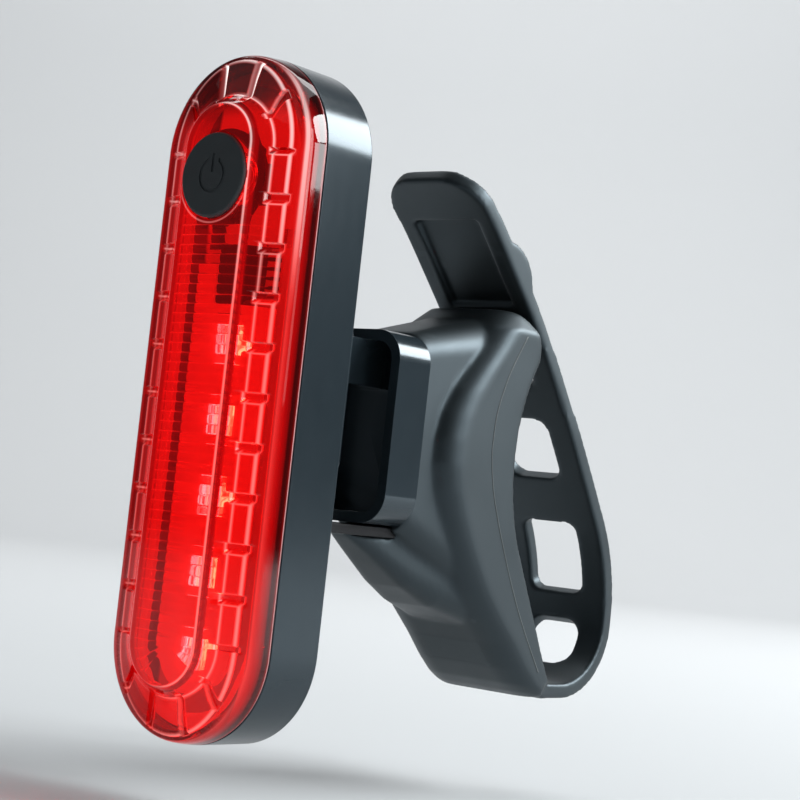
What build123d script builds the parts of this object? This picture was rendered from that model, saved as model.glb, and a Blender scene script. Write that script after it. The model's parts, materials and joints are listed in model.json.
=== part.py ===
"""Rechargeable bicycle tail light with a rear clip, on a rubber mount with a hooked strap.

Millimetres, +Z up, light facing -Y. The pieces are built in the light's own frame: x = 0 is the plane of
symmetry, y = 0 the front of the lens and z = 0 the middle of the light. save() then shifts each piece so
that the origin is the deepest point of the saddle's seat, where the mount meets the bar. The bar runs
along X.
"""
import os
from math import cos, radians, sin

from build123d import *

# Light, overall
LIGHT_LENGTH = 75.0
LIGHT_WIDTH = 21.8
LIGHT_DEPTH = 13.6
HALF_LENGTH = LIGHT_LENGTH / 2
HALF_WIDTH = LIGHT_WIDTH / 2
END_CENTRE = HALF_LENGTH - HALF_WIDTH

# Lens: how far each step stands in from the side wall, and its depth behind the front
LENS_BACK = 5.2
WALL_FRONT = 3.4
INSIDE_WALL_FRONT = 4.0
RING_OUTER_INSET = 1.9
RING_OUTER_DEPTH = 2.2
RING_INNER_INSET = 4.1
RING_INNER_DEPTH = 1.3
WINDOW_INSET = 6.15
LENS_WALL = 1.5
GROOVE_PITCH = 5.3
GROOVE_WIDTH = 0.9
GROOVE_DEPTH = 0.6
GROOVE_REACH = 0.3
SIDE_GROOVES = 11
END_BLOCKS = 5

# Seal and housing
SEAL_THICKNESS = 0.3
SEAL_WIDTH = 1.2
SEAL_INSET = 0.15
HOUSING_FRONT = LENS_BACK + SEAL_THICKNESS
HOUSING_WALL = 1.5
BACK_CHAMFER = 0.8
POST_X = 7.2
POST_RADIUS = 1.15
POST_HEIGHTS = (-20.5, 4.0, 22.0)
CLIP_SCREW_Z = 4.0

# Button and its switch
BUTTON_Z = 23.4
BUTTON_RADIUS = 4.65
BUTTON_GAP = 0.12
BUTTON_PROUD = 0.4
BUTTON_FLANGE_RADIUS = 5.4
BUTTON_FLANGE = 0.5
BUTTON_STEM_RADIUS = 1.6
SYMBOL_RADIUS = 1.75
SYMBOL_LINE = 0.38
SYMBOL_DEPTH = 0.15
SYMBOL_GAP = 1.5
SYMBOL_BAR = (0.3, 2.3)
SWITCH_SIDE = 4.6
SWITCH_FRONT = 3.3
PLUNGER_RADIUS = 1.0
PLUNGER_FRONT = 2.75
PLUNGER_BACK = 3.9
PRESS_TRAVEL = 0.35

# Circuit board and what it carries
BOARD_FRONT = 5.95
BOARD_THICKNESS = 1.0
BOARD_BACK = BOARD_FRONT + BOARD_THICKNESS
BOARD_HALF_WIDTH = 8.6
BOARD_HALF_LENGTH = 34.4
REFLECTOR_FRONT = 5.4
REFLECTOR_HALF_WIDTH = 5.5
REFLECTOR_TOP = 9.8
REFLECTOR_BOTTOM = -32.0
REFLECTOR_EAR_TOP = 14.3
REFLECTOR_EAR_WIDTH = 2.8
LED_COUNT = 5
LED_TOP_Z = 5.95
LED_PITCH = 8.35
LED_SIZE = (2.8, 0.8, 2.8)
LED_WINDOW_GAP = 0.25
BATTERY = (11.0, 4.0, 38.0)
BATTERY_Z = 5.0
TAPE_THICKNESS = 0.6
LEAD_RADIUS = 0.4
LEAD_X = 3.2
LEAD_DROP = 2.6
LEAD_BEND = 1.6

# Chips: place across, place or places up the board, and size as (width, height, length)
CONTROL_CHIP = (1.35, 13.6, (6.2, 1.2, 6.2))
CHARGE_CHIP = (-3.4, -20.6, (1.7, 1.1, 2.9))
RESISTORS = (-3.4, (15.8, 17.2, 18.6), (1.6, 0.45, 0.8))
CAPACITORS = (3.6, (-18.9, -20.6, -22.3), (1.8, 0.9, 1.0))
INDICATOR = (6.6, (17.4,), (1.2, 0.6, 2.0))
LEG_REACH = 0.8
LEG_WIDTH = 0.4
LEG_THICKNESS = 0.3

# Charging port in the back and its flap
PORT_Z = -27.4
SHELL_WIDTH = 8.9
SHELL_HEIGHT = 3.2
SHELL_BACK = 12.3
SHELL_WALL = 0.3
SHELL_CORNER = 1.45
CONTACT_SIZE = (6.7, 0.7)
CONTACT_BACK = 11.3
FLAP_WIDTH = 12.8
FLAP_HEIGHT = 8.0
FLAP_THICKNESS = 1.1
FLAP_GAP = 0.15
FLAP_EDGE = 0.35
FLAP_CORNER = 1.5
HINGE_Z = PORT_Z - FLAP_HEIGHT / 2 + FLAP_THICKNESS / 2
HINGE_ROOM = (0.95, 0.85)
PLUG_SIZE = (7.8, 1.9)
PLUG_DEPTH = 0.7
FLAP_LIP = (5.2, 1.0, 0.6)
FLAP_LIP_INSET = 1.1

# Rear clip: an open-fronted tray carried on a neck
TRAY_HALF_WIDTH = 7.1
TRAY_TOP = 10.5
TRAY_BOTTOM = -12.0
TRAY_FRONT = 25.7
TRAY_BACK = 31.4
TRAY_WALL = 1.3
TRAY_CORNER = 3.6
NECK_ROOT_HALF_WIDTH = 6.0
NECK_HALF_WIDTH = 2.4
NECK_TAPER_END = 21.0
NECK_BOTTOM = 3.8
NECK_TOP = 9.2
CLIP_PAD_HALF_WIDTH = 9.0
CLIP_PAD_BOTTOM = -8.0
CLIP_PAD_TOP = 10.5
CLIP_PAD_THICKNESS = 1.5
CHANNEL_GAP = 0.1
CHANNEL_WALL = 1.2
CHANNEL_LIP = 1.4
SCREW_RADIUS = 0.85
SCREW_HEAD_RADIUS = 1.6
SCREW_HEAD = 0.9
SCREW_LENGTH = 5.0

# Saddle: the rubber block between the clip and the bar
SADDLE_HALF_WIDTH = 8.5
SADDLE_DEPTH = 40.0
SADDLE_SECTIONS = (
    # height, front face, half width, front corner radius
    (-31.6, 57.8, 8.3, 4.0), (-31.0, 56.2, 8.4, 4.0), (-30.0, 54.5, 8.5, 4.0), (-28.0, 52.1, 8.5, 4.0),
    (-25.0, 49.1, 8.5, 4.0), (-22.0, 45.7, 8.5, 4.0), (-19.0, 42.7, 8.5, 4.0), (-16.0, 40.3, 8.5, 4.0),
    (-13.0, 38.2, 8.5, 4.0), (-10.0, 36.4, 8.5, 4.0), (-7.0, 35.0, 8.5, 4.0), (-4.0, 34.3, 8.5, 4.0),
    (-1.0, 34.3, 8.5, 4.0), (2.0, 35.0, 8.5, 4.0), (5.0, 36.4, 8.5, 4.0), (8.0, 38.6, 8.5, 4.0),
    (11.0, 41.0, 8.5, 4.0), (13.4, 42.7, 8.5, 4.0), (15.8, 45.2, 6.8, 3.6),
)
BOSS_SECTIONS = (
    # depth, half width, bottom, top, corner radius
    (31.6, 5.8, -12.8, 11.0, 3.0), (44.2, 7.2, -19.7, 14.4, 4.0),
)
KEEL_SECTIONS = (
    (26.2, 1.5, -13.4, -12.2, 0.5), (30.5, 3.0, -15.8, -12.2, 1.4), (36.0, 4.2, -19.1, -12.2, 2.0),
    (40.5, 5.2, -21.2, -12.2, 2.6), (47.6, 6.6, -23.2, -12.2, 3.0),
)
CROWN_BACK = 46.4
FOOT_RUN = 13.0
SEAT_Y = 48.1
SEAT_Z = -2.0
SEAT_RADIUS = 24.5
SEAT_SPAN = 29.5
TONGUE_HALF_WIDTH = 3.6
TONGUE_FRONT = 15.2
TONGUE_THICKNESS = 1.2
TONGUE_TIP = 3.6
HEEL_RADIUS = 1.8
WEB_TOP = -12.2
WEB_BACK = 40.0
ANCHOR_HEIGHT = 5.0

# Strap
STRAP_HALF_WIDTH = 7.9
STRAP_THICKNESS = 1.9
STRAP_AXIS_Y = 60.3
STRAP_AXIS_Z = -30.65
ROOT_CHAMFER = 1.3
BEAD_RADIUS = 1.05
BEAD_GAP = 0.1
STRAP_STEPS = (3.7, (9.9, 90), (24.0, 34), (500.0, 3), (60.0, 7.5), 6.5, (60.0, 11.5))
SLOT_HALF_WIDTH = 4.0
STRAP_SLOTS = ((-25.7, 6.4, 2.2), (-12.9, 9.8, 1.3), (0.9, 8.8, 1.8), (11.0, 6.0, 1.2))
TAB_HALF_WIDTH = 7.3
TAPER_START = 2.0
TAPER_END = 17.0
TAB_ROUNDING = 5.2
DISH_HALF_WIDTH = 4.8
DISH_Z = 22.6
DISH_LENGTH = 13.0
DISH_DEPTH = 0.7
BUMP_Z = 21.4
BUMP_RADIUS = 5.7
BUMP_HEIGHT = 1.4
HOOK_HALF_WIDTH = 2.8
HOOK_ROOT = 44.0
HOOK_TIP = 57.2
HOOK_LIP = 1.4
HOOK_LIP_RISE = 1.0
HOOK_FOOT = 1.0
HOOK_FOOT_Z = (6.0, 12.6)
HOOK_NOSE_Z = (9.0, 11.2)


def save(name, *solids):
    """Write one node, shifted from the light's frame to the seat's."""
    shape = solids[0] if len(solids) == 1 else Compound(children=list(solids))
    export_step(Pos(0, -SEAT_Y, -SEAT_Z) * shape, f"parts/{name}.step")


def block(x, y, z):
    """A box from its (low, high) pairs."""
    size = [high - low for low, high in (x, y, z)]
    centre = [(high + low) / 2 for low, high in (x, y, z)]
    return Pos(*centre) * Box(*size)


def rod(radius, y, z, x=0.0):
    """A cylinder along Y from its low and high y."""
    return Pos(x, (y[0] + y[1]) / 2, z) * Rot(90, 0, 0) * Cylinder(radius, y[1] - y[0])


def stadium(inset, y):
    """The light's outline, drawn in by inset, as a face at depth y."""
    plane = Plane(origin=(0, y, 0), x_dir=(0, 0, 1), z_dir=(0, 1, 0))
    return plane * SlotCenterToCenter(2 * END_CENTRE, 2 * (HALF_WIDTH - inset))


def shell_of(steps):
    """A solid through stadium outlines, each given as (inset, depth)."""
    return loft([stadium(inset, y) for inset, y in steps], ruled=True)


def rounded_block(x, y, z, radius, axis):
    """A box whose four edges along the axis are rounded."""
    solid = block(x, y, z)
    return fillet(solid.edges().filter_by(axis), radius)


def yz_face(*edges):
    """A face in the plane x = 0 from edges drawn with (y, z) points."""
    return make_face([Plane.YZ * edge for edge in edges])


# Light

def ring_grooves():
    """The slits between the lens's raised blocks: straight along its sides, radial round its ends."""
    reach = GROOVE_REACH
    low = RING_OUTER_INSET - reach
    high = RING_INNER_INSET + reach
    slope = (RING_OUTER_DEPTH - RING_INNER_DEPTH) / (RING_INNER_INSET - RING_OUTER_INSET)
    floor_out = RING_OUTER_DEPTH + GROOVE_DEPTH + slope * reach
    floor_in = RING_INNER_DEPTH + GROOVE_DEPTH - slope * reach
    band = shell_of([(low, -1.0), (low, floor_out)]) - shell_of([(high, -1.0), (high, floor_out + 1.0)])
    band -= shell_of([(high, floor_in), (low, floor_out), (low, floor_out + 1.0)])
    cutters = []
    for k in range(SIDE_GROOVES):
        z = (k - (SIDE_GROOVES - 1) / 2) * GROOVE_PITCH
        cutters.append(Pos(0, 0, z) * Box(LIGHT_WIDTH, 2 * LENS_BACK, GROOVE_WIDTH))
    for end in (1, -1):
        for k in range(1, END_BLOCKS):
            turn = 180 * k / END_BLOCKS
            slit = Pos(HALF_WIDTH / 2, 0, 0) * Box(HALF_WIDTH, 2 * LENS_BACK, GROOVE_WIDTH)
            cutters.append(Pos(0, 0, end * END_CENTRE) * Rot(0, -end * turn, 0) * slit)
    return [band & cutter for cutter in cutters]


def front_lens():
    outside = [
        (0, LENS_BACK), (0, WALL_FRONT), (RING_OUTER_INSET, RING_OUTER_DEPTH),
        (RING_INNER_INSET, RING_INNER_DEPTH), (WINDOW_INSET, 0),
    ]
    inside = [
        (LENS_WALL, LENS_BACK), (LENS_WALL, INSIDE_WALL_FRONT),
        (RING_INNER_INSET, RING_INNER_DEPTH + LENS_WALL + 0.5), (WINDOW_INSET, LENS_WALL),
    ]
    lens = shell_of(outside) - shell_of(inside)
    hole = rod(BUTTON_RADIUS + BUTTON_GAP, (-1, LENS_BACK), BUTTON_Z)
    for slit in ring_grooves():
        lens -= slit
    return lens - hole


def seal_ring():
    outer = [(SEAL_INSET, LENS_BACK), (SEAL_INSET, HOUSING_FRONT)]
    inner = [(SEAL_INSET + SEAL_WIDTH, LENS_BACK), (SEAL_INSET + SEAL_WIDTH, HOUSING_FRONT)]
    return shell_of(outer) - shell_of(inner)


def rear_housing():
    chamfer_start = LIGHT_DEPTH - BACK_CHAMFER
    inner_back = LIGHT_DEPTH - HOUSING_WALL
    body = shell_of([(0, HOUSING_FRONT), (0, chamfer_start), (BACK_CHAMFER, LIGHT_DEPTH)])
    body -= shell_of([(HOUSING_WALL, HOUSING_FRONT), (HOUSING_WALL, inner_back)])
    for side in (-1, 1):
        for z in POST_HEIGHTS:
            body += rod(POST_RADIUS, (BOARD_BACK + 0.05, inner_back), z, side * POST_X)
        screw_hole = rod(SCREW_RADIUS, (LIGHT_DEPTH - SCREW_LENGTH + CLIP_PAD_THICKNESS, LIGHT_DEPTH),
                         CLIP_SCREW_Z, side * POST_X)
        body -= screw_hole
    recess_x = (-FLAP_WIDTH / 2 - FLAP_GAP, FLAP_WIDTH / 2 + FLAP_GAP)
    recess_y = (LIGHT_DEPTH - FLAP_THICKNESS - FLAP_GAP, LIGHT_DEPTH + 1)
    recess_z = (PORT_Z - FLAP_HEIGHT / 2 - FLAP_GAP, PORT_Z + FLAP_HEIGHT / 2 + FLAP_GAP)
    body -= rounded_block(recess_x, recess_y, recess_z, FLAP_CORNER + 0.1, Axis.Y)
    body -= block(recess_x, recess_y, (HINGE_Z - HINGE_ROOM[0], HINGE_Z + HINGE_ROOM[1]))
    mouth = (SHELL_WIDTH / 2 + 0.1, SHELL_HEIGHT / 2 + 0.1)
    return body - rounded_block((-mouth[0], mouth[0]), (inner_back - 1, LIGHT_DEPTH),
                                (PORT_Z - mouth[1], PORT_Z + mouth[1]), SHELL_CORNER + 0.05, Axis.Y)


def power_symbol():
    """A broken ring with a bar through the gap, as a cutter in the button's face."""
    front = -BUTTON_PROUD
    depth = (front - 0.2, front + SYMBOL_DEPTH)
    ring = rod(SYMBOL_RADIUS + SYMBOL_LINE / 2, depth, BUTTON_Z) - rod(
        SYMBOL_RADIUS - SYMBOL_LINE / 2, (depth[0] - 1, depth[1] + 1), BUTTON_Z)
    gap = block((-SYMBOL_GAP / 2, SYMBOL_GAP / 2), (depth[0] - 1, depth[1] + 1),
                (BUTTON_Z + 0.6, BUTTON_Z + 3))
    bar_z = (BUTTON_Z + SYMBOL_BAR[0], BUTTON_Z + SYMBOL_BAR[1])
    bar = block((-SYMBOL_LINE / 2, SYMBOL_LINE / 2), depth, bar_z)
    return ring - gap, bar


def power_button():
    cap = rod(BUTTON_RADIUS, (-BUTTON_PROUD, LENS_WALL + 0.8), BUTTON_Z)
    cap = fillet(cap.edges().group_by(Axis.Y)[0], 0.35)
    flange_front = LENS_WALL + 0.7
    flange = rod(BUTTON_FLANGE_RADIUS, (flange_front, flange_front + BUTTON_FLANGE), BUTTON_Z)
    stem = rod(BUTTON_STEM_RADIUS, (LENS_WALL, PLUNGER_FRONT), BUTTON_Z)
    button = cap + flange + stem
    for cut in power_symbol():
        button -= cut
    return button


def tact_switch():
    half = SWITCH_SIDE / 2
    body = block((-half, half), (SWITCH_FRONT, BOARD_FRONT), (BUTTON_Z - half, BUTTON_Z + half))
    well = rod(PLUNGER_RADIUS + 0.08, (SWITCH_FRONT - 1, PLUNGER_BACK + PRESS_TRAVEL + 0.1), BUTTON_Z)
    plunger = rod(PLUNGER_RADIUS, (PLUNGER_FRONT, PLUNGER_BACK), BUTTON_Z)
    return body - well, plunger


def circuit_board():
    plane = Plane(origin=(0, BOARD_FRONT, 0), x_dir=(0, 0, 1), z_dir=(0, 1, 0))
    outline = SlotCenterToCenter(2 * (BOARD_HALF_LENGTH - BOARD_HALF_WIDTH), 2 * BOARD_HALF_WIDTH)
    return extrude(plane * outline, BOARD_THICKNESS)


def led_heights():
    return [LED_TOP_Z - LED_PITCH * k for k in range(LED_COUNT)]


def reflector_strip():
    low = REFLECTOR_BOTTOM + REFLECTOR_HALF_WIDTH
    y = (REFLECTOR_FRONT, BOARD_FRONT)
    strip = block((-REFLECTOR_HALF_WIDTH, REFLECTOR_HALF_WIDTH), y, (low, REFLECTOR_TOP))
    strip += rod(REFLECTOR_HALF_WIDTH, y, low)
    ear_x = (-REFLECTOR_HALF_WIDTH, REFLECTOR_EAR_WIDTH - REFLECTOR_HALF_WIDTH)
    strip += block(ear_x, y, (REFLECTOR_TOP - 1, REFLECTOR_EAR_TOP))
    half_x = LED_SIZE[0] / 2 + LED_WINDOW_GAP
    half_z = LED_SIZE[2] / 2 + LED_WINDOW_GAP
    for z in led_heights():
        strip -= block((-half_x, half_x), (y[0] - 1, y[1] + 1), (z - half_z, z + half_z))
    return strip


def led(z):
    """A surface-mount lamp: a shallow cup with a round well in its face."""
    half_x, half_z = LED_SIZE[0] / 2, LED_SIZE[2] / 2
    body = block((-half_x, half_x), (BOARD_FRONT - LED_SIZE[1], BOARD_FRONT), (z - half_z, z + half_z))
    return body - rod(1.05, (BOARD_FRONT - LED_SIZE[1] - 1, BOARD_FRONT - LED_SIZE[1] + 0.15), z)


def leaded_chip(x, z, size, pins, front):
    """A chip body with short legs along its two long sides, as one solid, on the board face at y = front."""
    width, height, length = size
    side = -1 if front == BOARD_FRONT else 1
    body_y = sorted((front + side * 0.08, front + side * height))
    leg_y = sorted((front, front + side * LEG_THICKNESS))
    leg_x = (x - width / 2 - LEG_REACH, x + width / 2 + LEG_REACH)
    chip = block((x - width / 2, x + width / 2), body_y, (z - length / 2, z + length / 2))
    for k in range(pins):
        leg_z = z + (k - (pins - 1) / 2) * length / pins
        chip += block(leg_x, leg_y, (leg_z - LEG_WIDTH / 2, leg_z + LEG_WIDTH / 2))
    return chip


def chip_row(x, heights, size, front):
    """Small square-ended components in a row down the board."""
    width, height, length = size
    side = -1 if front == BOARD_FRONT else 1
    y = sorted((front, front + side * height))
    return [block((x - width / 2, x + width / 2), y, (z - length / 2, z + length / 2)) for z in heights]


def battery():
    inner_back = LIGHT_DEPTH - HOUSING_WALL
    half_x, half_z = BATTERY[0] / 2, BATTERY[2] / 2
    z = (BATTERY_Z - half_z, BATTERY_Z + half_z)
    cell_back = inner_back - TAPE_THICKNESS
    cell = rounded_block((-half_x, half_x), (cell_back - BATTERY[1], cell_back), z, 1.1, Axis.Z)
    tape = block((-half_x + 1, half_x - 1), (cell_back, inner_back), (z[0] + 4, z[1] - 4))
    return cell, tape


def battery_lead(side):
    """A short insulated lead from the foot of the cell round to the back of the board."""
    cell_foot = BATTERY_Z - BATTERY[2] / 2
    start_y = LIGHT_DEPTH - HOUSING_WALL - TAPE_THICKNESS - BATTERY[1] / 2
    bottom = cell_foot - LEAD_DROP
    x = side * LEAD_X
    path = FilletPolyline(
        (x, start_y, cell_foot), (x, start_y, bottom), (x, BOARD_BACK, bottom), radius=LEAD_BEND)
    section = Plane(origin=path @ 0, z_dir=path % 0) * Circle(LEAD_RADIUS)
    return sweep(section, path=path)


def usb_socket():
    half_x, half_z = SHELL_WIDTH / 2, SHELL_HEIGHT / 2
    y = (BOARD_BACK, SHELL_BACK)
    shell = rounded_block((-half_x, half_x), y, (PORT_Z - half_z, PORT_Z + half_z), SHELL_CORNER, Axis.Y)
    inner_x, inner_z = half_x - SHELL_WALL, half_z - SHELL_WALL
    floor = y[0] + 0.8
    shell -= rounded_block((-inner_x, inner_x), (floor, y[1] + 1),
                           (PORT_Z - inner_z, PORT_Z + inner_z), SHELL_CORNER - SHELL_WALL, Axis.Y)
    half_wide, half_high = CONTACT_SIZE[0] / 2, CONTACT_SIZE[1] / 2
    contacts = block((-half_wide, half_wide), (floor, CONTACT_BACK),
                     (PORT_Z - half_high, PORT_Z + half_high))
    return shell, contacts


def port_flap():
    """The rubber flap over the port, with a shallow plug and a finger lip at the top."""
    half_x, half_z = FLAP_WIDTH / 2, FLAP_HEIGHT / 2
    y = (LIGHT_DEPTH - FLAP_THICKNESS, LIGHT_DEPTH)
    flap = rounded_block((-half_x, half_x), y, (PORT_Z - half_z, PORT_Z + half_z), FLAP_CORNER, Axis.Y)
    flap = fillet(flap.edges().group_by(Axis.Y)[0] + flap.edges().group_by(Axis.Y)[-1], FLAP_EDGE)
    plug_x, plug_z = PLUG_SIZE[0] / 2, PLUG_SIZE[1] / 2
    flap += rounded_block((-plug_x, plug_x), (SHELL_BACK - PLUG_DEPTH, y[0] + 0.2),
                          (PORT_Z - plug_z, PORT_Z + plug_z), 0.9, Axis.Y)
    lip_x, lip_height, lip_proud = FLAP_LIP[0] / 2, FLAP_LIP[1], FLAP_LIP[2]
    lip_z = PORT_Z + half_z - FLAP_LIP_INSET
    return flap + rounded_block((-lip_x, lip_x), (y[1] - 0.1, y[1] + lip_proud),
                                (lip_z - lip_height / 2, lip_z + lip_height / 2), 0.45, Axis.Y)


def rear_clip():
    """Tray, neck, pad and channel in one moulding. The tongue goes up the channel on the pad's back."""
    x = (-TRAY_HALF_WIDTH, TRAY_HALF_WIDTH)
    tray = rounded_block(x, (TRAY_FRONT, TRAY_BACK), (TRAY_BOTTOM, TRAY_TOP), TRAY_CORNER, Axis.Y)
    hollow_x = TRAY_HALF_WIDTH - TRAY_WALL
    tray -= rounded_block(
        (-hollow_x, hollow_x), (TRAY_FRONT - 1, TRAY_BACK - TRAY_WALL),
        (TRAY_BOTTOM + TRAY_WALL, TRAY_TOP - TRAY_WALL), TRAY_CORNER - TRAY_WALL, Axis.Y)
    half = [(NECK_ROOT_HALF_WIDTH, LIGHT_DEPTH), (NECK_HALF_WIDTH, NECK_TAPER_END),
            (NECK_HALF_WIDTH, TRAY_BACK - TRAY_WALL / 2)]
    plan = make_face(Polyline(*half, *[(-a, b) for a, b in reversed(half)], close=True))
    neck = Pos(0, 0, NECK_BOTTOM) * extrude(plan, NECK_TOP - NECK_BOTTOM)
    pad_back = LIGHT_DEPTH + CLIP_PAD_THICKNESS
    pad = rounded_block((-CLIP_PAD_HALF_WIDTH, CLIP_PAD_HALF_WIDTH), (LIGHT_DEPTH, pad_back),
                        (CLIP_PAD_BOTTOM, CLIP_PAD_TOP), 2.5, Axis.Y)
    clip = tray + neck + pad
    lip_front = TONGUE_FRONT + TONGUE_THICKNESS + CHANNEL_GAP
    lip_back = lip_front + CHANNEL_WALL
    inner, outer = TONGUE_HALF_WIDTH + CHANNEL_GAP, TONGUE_HALF_WIDTH + CHANNEL_GAP + CHANNEL_WALL
    channel_z = (CLIP_PAD_BOTTOM + 1, NECK_BOTTOM + 1)
    for side in (-1, 1):
        clip += block(sorted((side * inner, side * outer)), (pad_back - 0.5, lip_back), channel_z)
        clip += block(sorted((side * (inner - CHANNEL_LIP), side * outer)), (lip_front, lip_back), channel_z)
    for side in (-1, 1):
        clip -= rod(SCREW_RADIUS + 0.1, (LIGHT_DEPTH - 1, LIGHT_DEPTH + 2), CLIP_SCREW_Z, side * POST_X)
        head_y = (LIGHT_DEPTH + CLIP_PAD_THICKNESS - SCREW_HEAD, LIGHT_DEPTH + 2)
        clip -= rod(SCREW_HEAD_RADIUS + 0.05, head_y, CLIP_SCREW_Z, side * POST_X)
    return clip


def clip_screw(side):
    back = LIGHT_DEPTH + CLIP_PAD_THICKNESS
    x = side * POST_X
    screw = rod(SCREW_RADIUS, (back - SCREW_LENGTH, back), CLIP_SCREW_Z, x)
    screw += rod(SCREW_HEAD_RADIUS, (back - SCREW_HEAD, back), CLIP_SCREW_Z, x)
    for turn in (0, 90):
        slot = Rot(0, turn, 0) * Box(0.4, 1.0, 1.9)
        screw -= Pos(x, back, CLIP_SCREW_Z) * slot
    return screw


# Mount

def on_seat(angle):
    """A point of the seat's arc, at an angle from its deepest point, positive upward."""
    turn = radians(angle)
    return SEAT_Y + SEAT_RADIUS * (1 - cos(turn)), SEAT_Z + SEAT_RADIUS * sin(turn)


def saddle_back():
    """Side outline that trims the saddle's back: seat, foot and strap root, with a front well clear."""
    seat_top, seat_foot = on_seat(SEAT_SPAN), on_seat(-SEAT_SPAN)
    slant = (sin(radians(SEAT_SPAN)), -cos(radians(SEAT_SPAN)))
    heel = (seat_foot[0] + FOOT_RUN * slant[0], seat_foot[1] + FOOT_RUN * slant[1])
    root = (STRAP_AXIS_Y, STRAP_AXIS_Z)
    root_top = (STRAP_AXIS_Y, STRAP_AXIS_Z + STRAP_THICKNESS / 2)
    sole = STRAP_AXIS_Z - STRAP_THICKNESS / 2
    crown = SADDLE_SECTIONS[-1][0]
    return yz_face(
        ThreePointArc(seat_top, (SEAT_Y, SEAT_Z), seat_foot),
        Line(seat_foot, heel),
        TangentArc(heel, root_top, tangent=slant),
        Polyline(root_top, root, (STRAP_AXIS_Y - ROOT_CHAMFER, sole), (TRAY_FRONT, sole),
                 (TRAY_FRONT, crown), (CROWN_BACK, crown)),
        TangentArc((CROWN_BACK, crown), seat_top, tangent=(1, 0)),
    )


def saddle_front():
    """Level sections of the saddle, with round front corners, from the foot up to the crown."""
    sections = []
    for z, front, half_width, corner in SADDLE_SECTIONS:
        outline = RectangleRounded(2 * half_width, SADDLE_DEPTH, corner)
        sections.append(Pos(0, front + SADDLE_DEPTH / 2, z) * outline)
    return loft(sections, ruled=True)


def upright_loft(sections):
    """A solid through upright sections, each given as (depth, half width, bottom, top, corner radius)."""
    faces = []
    for y, half_x, bottom, top, corner in sections:
        plane = Plane(origin=(0, y, (bottom + top) / 2), x_dir=(1, 0, 0), z_dir=(0, 1, 0))
        faces.append(plane * RectangleRounded(2 * half_x, top - bottom, corner))
    return loft(faces, ruled=True)


def mount_tongue():
    """The steel J that the clip drops over: an anchor in the rubber, a web under the tray and an upright
    tongue that stands close behind the light."""
    middle = TONGUE_FRONT + TONGUE_THICKNESS / 2
    web = WEB_TOP - TONGUE_THICKNESS / 2
    tip = TONGUE_TIP - TONGUE_THICKNESS / 2
    path = FilletPolyline((middle, tip), (middle, web), (WEB_BACK, web), (WEB_BACK, web - ANCHOR_HEIGHT / 2),
                          radius=HEEL_RADIUS)
    strip = yz_face(*offset(path, amount=TONGUE_THICKNESS / 2, side=Side.BOTH).edges())
    return extrude(strip, TONGUE_HALF_WIDTH, both=True)


def strap_hook():
    """The peg that holds the strap: a foot in the saddle's crown and a nose with a small upturned lip."""
    x = (-HOOK_HALF_WIDTH, HOOK_HALF_WIDTH)
    foot = block((-HOOK_HALF_WIDTH - HOOK_FOOT, HOOK_HALF_WIDTH + HOOK_FOOT),
                 (HOOK_ROOT - HOOK_FOOT, HOOK_ROOT + HOOK_FOOT), HOOK_FOOT_Z)
    nose = block(x, (HOOK_ROOT, HOOK_TIP), HOOK_NOSE_Z)
    lip = block(x, (HOOK_TIP - HOOK_LIP, HOOK_TIP), (HOOK_NOSE_Z[0], HOOK_NOSE_Z[1] + HOOK_LIP_RISE))
    return foot + nose + lip


def saddle_block(tongue, hook):
    body = extrude(saddle_back(), 2 * SADDLE_HALF_WIDTH, both=True) & saddle_front()
    socket = Pos(0, STRAP_AXIS_Y, STRAP_AXIS_Z) * Rot(0, 90, 0) * Cylinder(
        BEAD_RADIUS + BEAD_GAP, 4 * SADDLE_HALF_WIDTH)
    body += upright_loft(BOSS_SECTIONS) + upright_loft(KEEL_SECTIONS)
    return body - socket - tongue - hook


def strap_side(inset):
    """One side of the strap in the plane x = 0, inset from its outside: out of the saddle's foot, round the
    bottom of the loop, up to the hook and on to the tip of the tab. Each step is (radius, turn) for an arc,
    or a length for a straight run."""
    y, z, heading = STRAP_AXIS_Y, STRAP_AXIS_Z - STRAP_THICKNESS / 2 + inset, 0.0
    edges = []
    for step in STRAP_STEPS:
        if isinstance(step, tuple):
            radius, turn = step[0] - inset, step[1]
            centre = (y - radius * sin(radians(heading)), z + radius * cos(radians(heading)))
            edges.append(CenterArc(centre, radius, heading - 90, turn))
            heading += turn
            y = centre[0] + radius * sin(radians(heading))
            z = centre[1] - radius * cos(radians(heading))
        else:
            end = (y + step * cos(radians(heading)), z + step * sin(radians(heading)))
            edges.append(Line((y, z), end))
            y, z = end
    return edges, (y, z)


def on_strap(z):
    """A plane on the strap's outside at height z, on the part above the loop's bottom: z axis out of it."""
    outside = Wire([Plane.YZ * edge for edge in strap_side(0)[0]])
    low, high = 0.0, 1.0
    for _ in range(40):
        middle = (low + high) / 2
        if outside.position_at(middle).Z < z:
            low = middle
        else:
            high = middle
    along = outside.tangent_at(low)
    return Plane(origin=outside.position_at(low), x_dir=(1, 0, 0), z_dir=(0, along.Z, -along.Y))


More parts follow.
